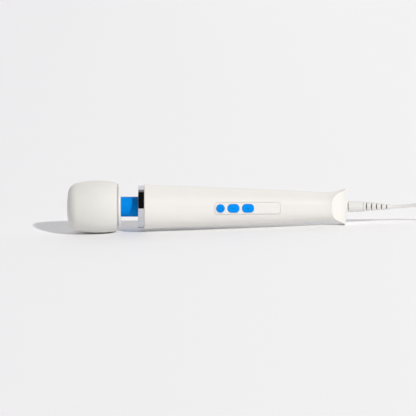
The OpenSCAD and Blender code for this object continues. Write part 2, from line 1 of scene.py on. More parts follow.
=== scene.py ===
"""A handheld wand massager on a pale table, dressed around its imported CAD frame.

Two sets of coordinates are used, both in millimetres. Table coordinates are the CAD's own.
Wand coordinates follow the wand: x runs along it from the head's tip, the buttons face -y,
and z points up the picture.
"""

import json
import math

import bmesh
import bpy
from mathutils import Matrix, Vector


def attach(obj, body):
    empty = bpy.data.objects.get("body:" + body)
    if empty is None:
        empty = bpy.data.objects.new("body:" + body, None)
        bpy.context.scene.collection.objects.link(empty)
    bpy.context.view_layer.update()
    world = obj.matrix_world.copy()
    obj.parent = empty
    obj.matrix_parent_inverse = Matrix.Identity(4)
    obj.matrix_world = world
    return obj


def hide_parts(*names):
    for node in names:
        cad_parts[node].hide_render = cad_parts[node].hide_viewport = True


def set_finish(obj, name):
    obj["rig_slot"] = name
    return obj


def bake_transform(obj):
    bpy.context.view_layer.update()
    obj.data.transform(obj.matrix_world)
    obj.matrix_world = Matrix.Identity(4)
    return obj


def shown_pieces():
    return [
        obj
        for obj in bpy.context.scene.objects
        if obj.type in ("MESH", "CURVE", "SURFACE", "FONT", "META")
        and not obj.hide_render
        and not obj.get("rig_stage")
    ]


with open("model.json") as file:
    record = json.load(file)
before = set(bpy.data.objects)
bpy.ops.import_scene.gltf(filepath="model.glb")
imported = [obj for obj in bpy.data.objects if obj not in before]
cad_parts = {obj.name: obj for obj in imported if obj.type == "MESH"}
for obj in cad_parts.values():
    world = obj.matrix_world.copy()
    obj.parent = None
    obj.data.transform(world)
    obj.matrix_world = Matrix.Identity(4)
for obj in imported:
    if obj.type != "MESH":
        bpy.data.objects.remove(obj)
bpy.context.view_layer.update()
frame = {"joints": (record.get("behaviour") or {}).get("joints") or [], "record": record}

MM = 0.001
JOINTS = {j["name"]: j for j in frame["joints"]}
SLOT_OF = {s["node"]: s["material_slot"] for s in frame["record"]["subparts"]}

# ---- The wand's own coordinates, from the model's joints ----

PIVOT_X = 72.0
AXIS = Vector(JOINTS["motor_spin"]["axis"]).normalized()
BACK = Vector(JOINTS["power_press"]["axis"]).normalized()
UP = AXIS.cross(BACK).normalized()
TIP = Vector(JOINTS["neck_bend_up"]["pos_m"]) - AXIS * PIVOT_X * MM
WAND = Matrix.Translation(TIP) @ Matrix((AXIS, BACK, UP)).transposed().to_4x4() @ Matrix.Scale(MM, 4)
TABLE = Matrix.Scale(MM, 4)


def on_axis(x):
    """A point of the wand's axis, in table coordinates, in millimetres."""
    return (WAND @ Vector((x, 0, 0))) / MM


# ---- Sizes of the wand, in millimetres, as in the CAD ----

# Names ending in _X or _END, and SPRING_START, are distances from the head's tip
HEAD_LEN = 60.5
FACE_R = 107.0
SHOULDER_R = 14.0
SIDE_R = 110.0
HEAD_R = 31.0
WIDEST_X = 36.0
FLANK_END = 54.0
CAP_END = 59.4
CAP_BORE = 26.2
COVER_R = 23.0
COVER_END = 63.6
NECK_R = 11.8
NECK_WALL = 1.6
SPRING_R = 9.3
SPRING_WIRE = 1.6
SPRING_START = 62.0
SPRING_PITCH = 2.0
HALF_TURNS = 6
RING_X = 84.0
RING_END = 91.2
RING_WEB = 2.4
RING_BORE = 22.8
RING_R = 25.5
SHELL_X = 91.3
WAIST_X = 304.0
TAIL_X = 330.0
GRIP_R = 26.3
WAIST_R = 17.1
TAIL_R = 21.5
LIP = 1.0
SWELL = 2.0
WALL = 2.5
SCOOP_R = 19.5
SCOOP_Y = SCOOP_R + 7.0
CAVITY_END = 300.0
BEZEL_X = 332.0
RELIEF_X = 350.5
RELIEF_END = 383.4
CORD_D = 4.2
PANEL_X = 212.9
PANEL_LEN = 78.0
PANEL_W = 14.4
PANEL_CORNER = 3.0
PANEL_GAP = 0.35
PANEL_DEPTH = 1.2
KEY_GAP = 0.25
KEY_TOP = 0.42
KEY_EDGE = 0.45
KEY_DEPTH = 3.0
# Each button's middle along the wand, length, width and corner radius
KEYS = {
    "power": (180.9, 9.9, 9.9, 4.95),
    "minus": (196.2, 13.7, 10.0, 4.3),
    "plus": (213.4, 13.7, 10.0, 4.3),
}
# The handle's screws, in pairs: distance along the wand, and distance above and below its axis
POSTS = [(100.0, 19.5), (168.0, 15.5), (284.0, 11.3)]
# Their posts and wells start and stop at these distances behind the wand's middle plane
POST_R = 3.4
POST_START = 1.0
WELL_R = 2.5
WELL_START = 8.0
WELL_STOP = 32.0
# How far the cutters for the panel and the buttons stand out of the handle, and reach into it
CUTTER_TOP = 3.0
CUTTER_EDGE = 0.1
CUTTER_DEPTH = 6.0

# ---- Camera: level with the wand's middle, looking slightly down on it ----

VIEW_YAW = math.radians(-1.2)
VIEW_PITCH = math.radians(9.9)
VIEW_ROLL = math.radians(-1.69)
VIEW_DISTANCE = 3.0
VIEW_TARGET = Vector((0.0007, 0.0, 0.0251))
LENS = 219.1


def add_camera():
    back = Vector((
        math.sin(VIEW_YAW) * math.cos(VIEW_PITCH),
        -math.cos(VIEW_YAW) * math.cos(VIEW_PITCH),
        math.sin(VIEW_PITCH),
    ))
    right = Vector((0, 0, 1)).cross(back).normalized()
    up = back.cross(right)
    across = right * math.cos(VIEW_ROLL) + up * math.sin(VIEW_ROLL)
    data = bpy.data.cameras.new("camera")
    data.lens = LENS
    data.sensor_width = 36.0
    data.clip_start = 0.05
    data.clip_end = 60.0
    camera = bpy.data.objects.new("camera", data)
    turn = Matrix((across, back.cross(across), back)).transposed()
    camera.matrix_world = Matrix.Translation(VIEW_TARGET + back * VIEW_DISTANCE) @ turn.to_4x4()
    bpy.context.scene.collection.objects.link(camera)
    bpy.context.scene.camera = camera


# ---- Meshes ----


def new_object(name, data):
    obj = bpy.data.objects.new(name, data)
    bpy.context.scene.collection.objects.link(obj)
    return obj


def finish_mesh(name, mesh, place=WAND, sharp=30.0):
    """Turns a mesh in millimetres into a smooth-shaded object in the row frame."""
    bm = bmesh.new()
    bm.from_mesh(mesh)
    bmesh.ops.remove_doubles(bm, verts=bm.verts, dist=1e-5)
    bmesh.ops.recalc_face_normals(bm, faces=bm.faces)
    bm.to_mesh(mesh)
    bm.free()
    mesh.transform(place)
    mesh.polygons.foreach_set("use_smooth", [True] * len(mesh.polygons))
    mesh.set_sharp_from_angle(angle=math.radians(sharp))
    return new_object(name, mesh)


def raw_mesh(name, points, faces):
    mesh = bpy.data.meshes.new(name)
    mesh.from_pydata([tuple(p) for p in points], [], faces)
    return mesh


def grid_faces(rows, columns, wrap_columns=True, wrap_rows=False):
    """Quads between neighbouring rows of points."""
    faces = []
    for i in range(rows if wrap_rows else rows - 1):
        for k in range(columns if wrap_columns else columns - 1):
            a, b = i * columns, ((i + 1) % rows) * columns
            faces.append((a + k, a + (k + 1) % columns, b + (k + 1) % columns, b + k))
    return faces


def arc(cx, cy, r, start, stop, n=8):
    """Points on an arc, from one angle to another in degrees."""
    angles = [math.radians(start + (stop - start) * i / n) for i in range(n + 1)]
    return [(cx + r * math.cos(a), cy + r * math.sin(a)) for a in angles]


def filleted(points, n=5):
    """A closed outline of (x, y, radius) corners with each corner rounded by its radius."""
    out = []
    for i, (x, y, r) in enumerate(points):
        here = Vector((x, y))
        before = Vector(points[i - 1][:2]) - here
        after = Vector(points[(i + 1) % len(points)][:2]) - here
        if r <= 0:
            out.append((x, y))
            continue
        half = before.angle(after) / 2
        reach = min(r / math.tan(half), before.length * 0.48, after.length * 0.48)
        r = reach * math.tan(half)
        centre = here + (before.normalized() + after.normalized()).normalized() * r / math.sin(half)
        start = here + before.normalized() * reach - centre
        stop = here + after.normalized() * reach - centre
        turn = start.angle_signed(stop)
        for k in range(n + 1):
            a = -turn * k / n
            out.append((
                centre.x + start.x * math.cos(a) - start.y * math.sin(a),
                centre.y + start.x * math.sin(a) + start.y * math.cos(a),
            ))
    return out


def lathe(name, outline, closed=True, segments=144, sharp=30.0):
    """Turns an outline of (x, radius) points about the wand's axis."""
    points = []
    for x, r in outline:
        for k in range(segments):
            a = 2 * math.pi * k / segments
            points.append((x, r * math.cos(a), r * math.sin(a)))
    faces = grid_faces(len(outline), segments, wrap_rows=closed)
    return finish_mesh(name, raw_mesh(name, points, faces), sharp=sharp)


def applied(obj):
    """Replaces an object's mesh by the result of its modifiers."""
    graph = bpy.context.evaluated_depsgraph_get()
    mesh = bpy.data.meshes.new_from_object(obj.evaluated_get(graph))
    obj.modifiers.clear()
    obj.data = mesh
    return obj


def combine(obj, cutters, operation="DIFFERENCE", sharp=30.0):
    """Cuts other objects out of one, or joins them to it, and removes them."""
    for cutter in cutters:
        modifier = obj.modifiers.new("cut", "BOOLEAN")
        modifier.operation = operation
        modifier.solver = "EXACT"
        modifier.object = cutter
    applied(obj)
    for cutter in cutters:
        bpy.data.objects.remove(cutter)
    obj.data.polygons.foreach_set("use_smooth", [True] * len(obj.data.polygons))
    obj.data.set_sharp_from_angle(angle=math.radians(sharp))
    return obj


# ---- The handle's outline ----


def grip_radius(x):
    t = (x - SHELL_X) / (WAIST_X - SHELL_X)
    return GRIP_R + (WAIST_R - GRIP_R) * t + SWELL * t * (1 - t)


WAIST_SLOPE = math.atan((WAIST_R - GRIP_R - SWELL) / (WAIST_X - SHELL_X))
FLARE = Vector((TAIL_X - LIP - WAIST_X, TAIL_R - WAIST_R))
FLARE_NORMAL = Vector((-math.sin(WAIST_SLOPE), math.cos(WAIST_SLOPE)))
FLARE_R = FLARE.length_squared / (2 * FLARE.dot(FLARE_NORMAL))
FLARE_CENTRE = Vector((WAIST_X, WAIST_R)) + FLARE_R * FLARE_NORMAL


def handle_radius(x):
    """The handle's outside radius at one distance from the head's tip."""
    if x <= WAIST_X:
        return grip_radius(x)
    if x <= TAIL_X - LIP:
        return FLARE_CENTRE.y - math.sqrt(FLARE_R**2 - (x - FLARE_CENTRE.x) ** 2)
    return TAIL_R - LIP + math.sqrt(max(0.0, LIP**2 - (x - TAIL_X + LIP) ** 2))


def scoop_depth(x):
    """How far from the middle the scooped flat of the tail stands."""
    return SCOOP_Y - math.sqrt(max(0.0, SCOOP_R**2 - (TAIL_X - x) ** 2))


def soft_min(a, b, blend):
    """The smaller of two values, with a rounded change from one to the other."""
    h = max(0.0, min(1.0, 0.5 + 0.5 * (b - a) / blend))
    return a * h + b * (1 - h) - blend * h * (1 - h)


def on_handle(x, z, out):
    """A point on the button side of the handle, raised off its surface by out."""
    return (x, -math.sqrt((handle_radius(x) + out) ** 2 - z * z), z)


# ---- Head, neck and ring ----


def crossing(a, ra, b, rb):
    """The point above the line from a to b that is ra from a and rb from b."""
    d = (b - a).length
    t = (ra * ra - rb * rb + d * d) / (2 * d)
    u = (b - a) / d
    return a + u * t + Vector((-u.y, u.x)) * math.sqrt(ra * ra - t * t)


def angle_of(v):
    return math.degrees(math.atan2(v.y, v.x))


def head_outline():
    face = Vector((FACE_R, 0))
    side = Vector((WIDEST_X, HEAD_R - SIDE_R))
    shoulder = crossing(side, SIDE_R - SHOULDER_R, face, FACE_R - SHOULDER_R)
    face_stop = angle_of(shoulder - face)
    side_start = angle_of(shoulder - side)
    side_stop = math.degrees(math.acos((FLANK_END - WIDEST_X) / SIDE_R))
    front = arc(face.x, face.y, FACE_R, 180, face_stop, 14)
    turn = arc(shoulder.x, shoulder.y, SHOULDER_R, face_stop, side_start, 24)[1:]
    flank = arc(side.x, side.y, SIDE_R, side_start, side_stop, 24)[1:]
    rear = filleted([
        flank[-1] + (0,), (58.9, 28.3, 1.2), (CAP_END, 27.0, 0.4), (CAP_END, CAP_BORE, 0),
    ])[1:]
    inside = [(14, CAP_BORE), (9, 22.5), (5, 17), (5, 0)]
    return front + turn + flank + rear + inside


def build_head():
    skin = lathe("head_skin", head_outline(), closed=False, segments=192, sharp=40)
    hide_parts("head_cushion")
    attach(skin, "head")
    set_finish(skin, "soft_silicone")
    bore = NECK_R - NECK_WALL + 0.1
    cover = lathe("head_rear_disc", filleted([
        (HEAD_LEN + 0.1, bore, 0), (HEAD_LEN + 0.1, COVER_R, 0.5),
        (COVER_END, COVER_R, 1.8), (COVER_END, bore, 0.5),
    ]))
    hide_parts("head_rear_cover")
    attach(cover, "head")
    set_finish(cover, "handle_white")


def neck_piece(name, start, stop, flange):
    """A length of the neck's skin. The flange is a plain end that hides under its neighbour."""
    inner = NECK_R - NECK_WALL
    steps = max(2, round((stop - start) / 0.8))
    outside = [(start + (stop - start) * i / steps, NECK_R) for i in range(steps + 1)]
    inside = [(x, inner) for x, _ in reversed(outside)]
    if flange:
        outside += [(stop, inner + 1.0), (stop + flange, inner + 1.0), (stop + flange, inner)]
        inside = inside[1:]
    return lathe(name, outside + inside, segments=128)


def spring_piece(name, first):
    """Closed turns of the neck's spring. Each is a ring of wire about the axis."""
    around, section = 64, 12
    points, faces = [], []
    for turn in range(first, first + HALF_TURNS):
        base = len(points)
        for i in range(section):
            a = 2 * math.pi * i / section
            x = SPRING_START + SPRING_PITCH * turn + SPRING_WIRE / 2 * math.cos(a)
            r = SPRING_R + SPRING_WIRE / 2 * math.sin(a)
            for k in range(around):
                b = 2 * math.pi * k / around
                points.append((x, r * math.cos(b), r * math.sin(b)))
        ring = grid_faces(section, around, wrap_rows=True)
        faces += [tuple(base + corner for corner in face) for face in ring]
    return finish_mesh(name, raw_mesh(name, points, faces))


def bend(piece):
    """Bakes the piece's placement into its mesh."""
    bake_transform(piece)


def build_neck():
    front = neck_piece("neck_skin_front", COVER_END + 0.1, PIVOT_X, 1.0)
    rear = neck_piece("neck_skin_rear", PIVOT_X, RING_X + 2.6, 0)
    front_spring = spring_piece("neck_spring_front", 0)
    rear_spring = spring_piece("neck_spring_rear", HALF_TURNS)
    for piece in (rear, rear_spring):
        bend(piece)
    for piece in (front, front_spring):
        bend(piece)
    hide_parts("neck_sleeve")
    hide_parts("neck_spring")
    for piece in (front_spring, rear_spring):
        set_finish(piece, "spring_steel")
    for piece in (front, rear):
        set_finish(piece, "neck_blue")


def build_ring():
    ring = lathe("bright_ring", filleted([
        (RING_X, NECK_R + 0.6, 0.4), (RING_X + RING_WEB, NECK_R + 0.6, 0),
        (RING_X + RING_WEB, RING_BORE, 0), (RING_END, RING_BORE, 0),
        (RING_END, RING_R, 0.45), (RING_X, RING_R, 0.6),
    ]), segments=192)
    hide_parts("chrome_ring")
    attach(ring, "handle")
    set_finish(ring, "ring_chrome")


# ---- Handle ----

HALF_STEPS = 96
SEAM = 0.06
SEAM_EDGE = 0.3
TAIL_BLEND = 0.9


def handle_stations():
    plain = [SHELL_X + 0.05, SHELL_X + 0.25, SHELL_X + 0.6]
    plain += [SHELL_X + 2.0 + 2.2 * i for i in range(95)]
    fine = [301.5 + 0.5 * i for i in range(16)]
    finest = [309.5 + 0.25 * i for i in range(76)]
    lip = [TAIL_X - LIP * (1 - math.sin(math.radians(a))) for a in (15, 30, 45, 60, 75, 86)]
    return [x for x in plain if x < 301] + fine + finest + lip


def pocket_size(x):
    """Half height and half depth of the hollow inside the handle."""
    if x < CAVITY_END:
        hollow = handle_radius(x) - WALL
        return hollow, hollow
    if x < TAIL_X - 3.5:
        return 6.0, 4.8
    return 4.4, 4.4


def half_section(x, side):
    """The closed outline of one half of the handle at one station, outside then inside."""
    radius = handle_radius(x)
    if x < SHELL_X + 0.5:
        radius -= 0.5 - math.sqrt(max(0.0, 0.25 - (SHELL_X + 0.5 - x) ** 2))
    limit = scoop_depth(x) if x > TAIL_X - SCOOP_R else 1000.0
    high, deep = pocket_size(x)
    outer, inner = [], []
    for k in range(HALF_STEPS + 1):
        a = math.pi * k / HALF_STEPS
        y = soft_min(radius * math.sin(a), limit, TAIL_BLEND)
        z = radius * math.cos(a)
        if y < SEAM + SEAM_EDGE:
            dip = SEAM_EDGE - math.sqrt(max(0.0, SEAM_EDGE**2 - (SEAM + SEAM_EDGE - max(y, SEAM)) ** 2))
            z -= math.copysign(dip, z)
        outer.append((x, side * max(y, SEAM), z))
        if x < CAVITY_END:
            power = 1.0
        else:
            power = 0.5
        inner_y = deep * abs(math.sin(a)) ** power
        inner_z = math.copysign(high * abs(math.cos(a)) ** power, math.cos(a))
        inner.append((x, side * max(inner_y, SEAM), inner_z))
    return outer + inner[::-1]


def half_shell(name, side):
    stations = handle_stations()
    columns = 2 * (HALF_STEPS + 1)
    points = [p for x in stations for p in half_section(x, side)]
    faces = grid_faces(len(stations), columns)
    for row in (0, len(stations) - 1):
        base = row * columns
        for k in range(HALF_STEPS):
            faces.append((base + k, base + k + 1, base + columns - 2 - k, base + columns - 1 - k))
    return finish_mesh(name, raw_mesh(name, points, faces), sharp=32)


# ---- Pads: shapes that follow the handle's curved face ----

CORNER_STEPS = 10


def pad_ring(cx, length, width, corner, inset, out):
    """One outline of a pad: a rounded rectangle shrunk by inset and raised by out."""
    half_w = width / 2 - inset
    half_l = length / 2 - inset
    r = min(half_w, max(corner - inset, 0.5 * half_w))
    centres = [(1, 1, 0), (-1, 1, 90), (-1, -1, 180), (1, -1, 270)]
    ring = []
    for sx, sz, start in centres:
        corner_arc = arc(cx + sx * (half_l - r), sz * (half_w - r), r, start, start + 90, CORNER_STEPS)
        ring += corner_arc
        if sx == 1 and sz == 1 or sx == -1 and sz == -1:
            # points along the long sides keep their faces short
            x0 = corner_arc[-1][0]
            for k in range(1, 16):
                ring.append((x0 - sx * 2 * (half_l - r) * k / 16, corner_arc[-1][1]))
        else:
            z0 = corner_arc[-1][1]
            for k in range(1, 4):
                ring.append((corner_arc[-1][0], z0 - sz * 2 * (half_w - r) * k / 4))
    return [on_handle(x, z, out) for x, z in ring]


def pad(name, cx, length, width, corner, levels):
    """A closed pad made of stacked outlines, each an (inset, out) level."""
    rings = [pad_ring(cx, length, width, corner, inset, out) for inset, out in levels]
    columns = len(rings[0])
    points = [p for ring in rings for p in ring]
    faces = grid_faces(len(rings), columns)
    faces.append(tuple(range(columns)))
    faces.append(tuple((len(rings) - 1) * columns + k for k in range(columns)))
    return finish_mesh(name, raw_mesh(name, points, faces), sharp=35)


def face_levels(width, top, edge, bottom):
    """Levels of a pad with a rounded rim, from the middle of its top round to its underside."""
    middle = width / 2 - 0.25
    spread = [(middle * f + edge * (1 - f), top) for f in (1.0, 0.75, 0.5, 0.25)]
    rim = [(edge * (1 - math.sin(math.radians(a))), top - edge * (1 - math.cos(math.radians(a))))
           for a in (0, 20, 40, 60, 80, 90)]
    under = [(0.0, bottom)] + [(middle * f, bottom) for f in (0.3, 0.65, 1.0)]
    return spread + rim + under


def key_cutter(name, grow):
    cx, length, width, corner = KEYS[name]
    size = 2 * grow
    levels = face_levels(width + size, CUTTER_TOP, CUTTER_EDGE, -CUTTER_DEPTH)
    return pad("cutter_" + name, cx, length + size, width + size, corner + grow, levels)


def well_cutter(x, z):
    """A round hole from the back of the handle down to a screw."""
    return round_bar("well", x, z, WELL_START, WELL_STOP, WELL_R)


def round_bar(name, x, z, start, stop, r, steps=40):
    """A round bar that runs from the wand's middle plane towards its back."""
    ring = [(r * math.cos(2 * math.pi * k / steps), r * math.sin(2 * math.pi * k / steps))
            for k in range(steps)]
    points = [(x + a, y, z + b) for y in (start, stop) for a, b in ring]
    faces = grid_faces(2, steps) + [tuple(range(steps)), tuple(range(steps, 2 * steps))]
    return finish_mesh(name, raw_mesh(name, points, faces))


def screw_post(x, z):
    """A post inside the handle that holds a screw, cut off under the handle's skin."""
    reach = math.sqrt((handle_radius(x) - 1.0) ** 2 - (abs(z) + POST_R) ** 2)
    return round_bar("post", x, z, POST_START, reach, POST_R)


def build_handle():
    front = half_shell("handle_front", -1)
    recess = face_levels(PANEL_W, CUTTER_TOP, CUTTER_EDGE, -PANEL_DEPTH)
    cutters = [pad("recess", PANEL_X, PANEL_LEN, PANEL_W, PANEL_CORNER, recess)]
    cutters += [key_cutter(name, KEY_GAP) for name in KEYS]
    combine(front, cutters, sharp=32)
    back = half_shell("handle_back", 1)
    places = [(x, side * z) for x, z in POSTS for side in (-1, 1)]
    combine(back, [screw_post(x, z) for x, z in places], "UNION", sharp=32)
    combine(back, [well_cutter(x, z) for x, z in places], sharp=32)
    for piece, node in ((front, "handle_front_shell"), (back, "handle_back_shell")):
        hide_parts(node)
        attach(piece, "handle")
        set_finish(piece, "handle_white")


# ---- Panel and buttons ----


def build_panel():
    gap = 2 * PANEL_GAP
    levels = face_levels(PANEL_W - gap, -0.02, 0.22, -PANEL_DEPTH + 0.05)
    panel = pad("button_panel", PANEL_X, PANEL_LEN - gap, PANEL_W - gap, PANEL_CORNER - PANEL_GAP, levels)
    combine(panel, [key_cutter(name, KEY_GAP) for name in KEYS], sharp=35)
    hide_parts("keypad_panel")
    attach(panel, "handle")
    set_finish(panel, "panel_white")


def build_key(name):
    cx, length, width, corner = KEYS[name]
    levels = face_levels(width, KEY_TOP, KEY_EDGE, -KEY_DEPTH)
    key = pad(name + "_key", cx, length, width, corner, levels)
    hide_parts(name + "_button")
    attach(key, name + "_key")
    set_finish(key, "button_blue")


def stroke(path, width, x0, low, high):
    """Points and faces of a thin raised line that follows the handle's face."""
    points = []
    for i, (x, z) in enumerate(path):
        before, after = path[max(i - 1, 0)], path[min(i + 1, len(path) - 1)]
        along = Vector((after[0] - before[0], after[1] - before[1])).normalized()
        side = Vector((-along.y, along.x)) * width / 2
        for s, out in ((1, low), (0.8, high), (-0.8, high), (-1, low)):
            points.append(on_handle(x0 + x + s * side.x, z + s * side.y, out))
    faces = grid_faces(len(path), 4) + [(0, 1, 2, 3), tuple(range(len(points) - 4, len(points)))]
    return points, faces


ICON_LINE = 0.62
BAR = [-2.2 + 0.55 * i for i in range(9)]
ICONS = {
    "power": [arc(0, -0.2, 2.3, 90 + 38, 90 + 322, 30), [(0, 0.3 + 0.5 * i) for i in range(6)]],
    "minus": [[(t, 0) for t in BAR]],
    "plus": [[(t, 0) for t in BAR], [(0, t) for t in BAR]],
}


def build_icon(name):
    """A generic power, minus or plus mark on a button."""
    points, faces = [], []
    for path in ICONS[name]:
        p, f = stroke(path, ICON_LINE, KEYS[name][0], 0.3, 0.5)
        faces += [tuple(i + len(points) for i in face) for face in f]
        points += p
    icon = finish_mesh(name + "_icon", raw_mesh(name + "_icon", points, faces))
    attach(icon, name + "_key")
    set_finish(icon, "button_blue")


# ---- Socket, plug and strain relief ----

SOCKET_R = 6.2
SOCKET_BORE = 4.4
PLUG_GAP = 1.2
PLUG_R = 6.6
NOSE_R = 4.1
RELIEF_R = 5.9
RELIEF_TAPER = 2.9
RIB_PITCH = 6.0
RIB_COUNT = 5
FIRST_RIB = 3.3
GROOVE_W = 1.2
GROOVE_R = CORD_D / 2 + 0.25
# Walls this far under the relief's skin count as the inside of a groove, which gets painted shade
GROOVE_DEEP = 0.3
DROOP = 0.5


def build_socket():
    bezel = lathe("socket_bezel", filleted([
        (TAIL_X + 0.02, SOCKET_BORE, 0), (TAIL_X + 0.02, SOCKET_R, 0),
        (BEZEL_X, SOCKET_R, 0.5), (BEZEL_X, SOCKET_BORE, 0.4),
    ]), segments=96)
    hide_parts("jack_bezel")
    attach(bezel, "handle")
    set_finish(bezel, "handle_white")


def build_plug():
    front = BEZEL_X + PLUG_GAP
    outline = filleted([
        (TAIL_X - 2.1, 0, 0), (TAIL_X - 2.1, NOSE_R, 0.4), (BEZEL_X - 0.3, NOSE_R, 0.2),
        (BEZEL_X - 0.3, NOSE_R - 1, 0), (front, NOSE_R - 1, 0), (front, PLUG_R, 0.5),
        (RELIEF_X - 1.0, 6.3, 0.9), (RELIEF_X - 1.0, 5.0, 0.2), (RELIEF_X - 0.1, 5.0, 0),
        (RELIEF_X - 0.1, 0, 0),
    ])
    plug = lathe("plug_grip", outline, closed=False, segments=96)
    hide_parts("plug_body")
    return plug


def drooped(x):
    """How far the relief's middle has sagged below the wand's axis, at one distance along it."""
    return DROOP * ((x - RELIEF_X) / (RELIEF_END - RELIEF_X)) ** 2


def relief_radius(x):
    return RELIEF_R - RELIEF_TAPER * (x - RELIEF_X) / (RELIEF_END - RELIEF_X)


def build_relief():
    corners = [(RELIEF_X, 0, 0), (RELIEF_X, relief_radius(RELIEF_X), 0.4)]
    for i in range(RIB_COUNT):
        a = RELIEF_X + FIRST_RIB + RIB_PITCH * i
        b = a + GROOVE_W
        corners += [(a, relief_radius(a), 0.25), (a + 0.1, GROOVE_R, 0.2)]
        corners += [(b - 0.1, GROOVE_R, 0.2), (b, relief_radius(b), 0.25)]
    corners += [(RELIEF_END, relief_radius(RELIEF_END), 0.5), (RELIEF_END, 0, 0)]
    relief = lathe("plug_relief", filleted(corners, 3), closed=False, segments=72)
    to_wand = WAND.inverted()
    for vertex in relief.data.vertices:
        vertex.co.z -= drooped((to_wand @ vertex.co).x) * MM
    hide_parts("strain_relief")
    return relief


# ---- Supply cord, in table coordinates ----

COIL_X, COIL_Y = 355.0, 0.0
COIL_MIDDLE = 23.5
ENTRY_R = COIL_MIDDLE + 0.75 * CORD_D
EXIT_R = COIL_MIDDLE + 1.25 * CORD_D
# Along x, the share of the sideways drift onto the coil's front, and the height
LEAD_SHAPE = [
    (228, 0.03, 19.5), (238, 0.11, 20.4), (248, 0.21, 21.3), (258, 0.325, 21.8), (268, 0.445, 21.5),
    (278, 0.56, 20), (288, 0.665, 17.2), (298, 0.76, 13.6), (308, 0.84, 9.9), (318, 0.905, 6.7),
    (328, 0.95, 4.4), (338, 0.98, 3.2), (347, 0.995, 2.92),
]
TAIL_ROUTE = [
    (364, -EXIT_R + 0.2, 13.8), (373, -27.6, 12.6), (382, -25, 10.4), (391, -21.2, 8.6),
    (400, -16.8, 7.8), (409, -12.8, 8.2), (417, -10.6, 9), (425, -10, 9.5), (434, -10, 9.5),
]
# The turns nest in four layers of three, which step inward and outward in turn
LAYER_HEIGHTS = (2.92, 6.56, 10.2, 13.84)
INWARD = [ENTRY_R, ENTRY_R - CORD_D, ENTRY_R - 2 * CORD_D]
OUTWARD = [EXIT_R - 2 * CORD_D, EXIT_R - CORD_D, EXIT_R]
COIL_TURNS = [(r, z) for i, z in enumerate(LAYER_HEIGHTS) for r in (OUTWARD if i % 2 else INWARD)]
TURN_POINTS = 60
CHANGE_START, CHANGE_END = 152.0, 208.0


def smooth(t):
    t = max(0.0, min(1.0, t))
    return t * t * (3 - 2 * t)


def coil_points():
    """Turns that start and stop at the front of the coil and change place at its back, under the tie."""
    points = []
    for here, after in zip(COIL_TURNS, COIL_TURNS[1:]):
        for k in range(TURN_POINTS):
            turn = 360.0 * k / TURN_POINTS
            t = smooth((turn - CHANGE_START) / (CHANGE_END - CHANGE_START))
            r = here[0] + (after[0] - here[0]) * t
            z = here[1] + (after[1] - here[1]) * t
            a = math.radians(turn - 90)
            points.append((COIL_X + r * math.cos(a), COIL_Y + r * math.sin(a), z))
    last = COIL_TURNS[-1]
    points.append((COIL_X, COIL_Y - last[0], last[1]))
    return points


def through(points, step=3.0):
    """A smooth line through points, with a point about every step."""
    p = [Vector(q) for q in points]
    out = []
    for i in range(len(p) - 1):
        a, b, c, d = p[max(i - 1, 0)], p[i], p[i + 1], p[min(i + 2, len(p) - 1)]
        n = max(1, round((c - b).length / step))
        for k in range(n):
            t = k / n
            out.append(0.5 * (
                2 * b + (c - a) * t + (2 * a - 5 * b + 4 * c - d) * t**2
                + (3 * b - a - 3 * c + d) * t**3
            ))
    return out + [p[-1]]


def cord_line():
    inside = [RELIEF_END - 11, RELIEF_END - 5, RELIEF_END + 0.6]
    start = [on_axis(x) - Vector((0, 0, drooped(x))) for x in inside]
    lead = [(x, -ENTRY_R * share, z) for x, share, z in LEAD_SHAPE]
    return through(start + lead + coil_points() + TAIL_ROUTE)


def build_cord():
    line = cord_line()
    data = bpy.data.curves.new("supply_cord", "CURVE")
    data.dimensions = "3D"
    spline = data.splines.new("POLY")
    spline.points.add(len(line) - 1)
    for point, place in zip(spline.points, line):
        point.co = (*(place * MM), 1.0)
        point.radius = CORD_D / 2 * MM
    data.bevel_depth = 1.0
    data.bevel_resolution = 5
    data.use_fill_caps = True
    cord = new_object("supply_cord", data)
    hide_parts("cord_lead", "cord_coil", "cord_tail")
    length = sum((b - a).length for a, b in zip(line, line[1:])) * MM
    return cord, round(length, 2)


def strap_section(a, b, thickness, width):
    """Corners of the strap's cross-section where its middle runs from a to b."""
    along = (b - a).normalized()
    out = Vector((0, along.z, -along.y))
    half = width / 2
    rim = 0.22
    shape = [(-half, -thickness / 2 + rim), (-half + rim, -thickness / 2), (half - rim, -thickness / 2),
             (half, -thickness / 2 + rim), (half, thickness / 2 - rim), (half - rim, thickness / 2),
             (-half + rim, thickness / 2), (-half, thickness / 2 - rim)]
    return [Vector((x, 0, 0)) + out * o for x, o in shape]


def build_tie():
    """A woven strap round the back of the coil, with its end lapped over itself."""
    low_y, high_y, low_z, high_z = 15.0, 31.3, 0.42, 16.35
    corner = 4.0
    loop = []
    for cy, cz, start in ((high_y - corner, high_z - corner, 0), (low_y + corner, high_z - corner, 90),
                          (low_y + corner, low_z + corner, 180), (high_y - corner, low_z + corner, 270)):
        loop += [Vector((COIL_X, y, z)) for y, z in arc(cy, cz, corner, start, start + 90, 8)]
    count = len(loop)
    points = []
    for i in range(count):
        middle = loop[i]
        section = strap_section(loop[i - 1], loop[(i + 1) % count], 0.8, 10.0)
        points += [middle + s for s in section]
    faces = grid_faces(count, 8, wrap_rows=True)
    lap = [Vector((COIL_X, high_y + 0.62, z)) for z in (5.5, 7.0, 8.5, 10.0, 11.5)]
    base = len(points)
    for i, middle in enumerate(lap):
        section = strap_section(lap[max(i - 1, 0)], lap[min(i + 1, len(lap) - 1)], 0.7, 9.0)
        points += [middle + s for s in section]
    faces += [tuple(base + k for k in face) for face in grid_faces(len(lap), 8)]
    faces += [tuple(range(base, base + 8)), tuple(range(len(points) - 8, len(points)))]
    tie = finish_mesh("coil_tie", raw_mesh("coil_tie", points, faces), TABLE)
    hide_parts("cord_tie")
    return tie


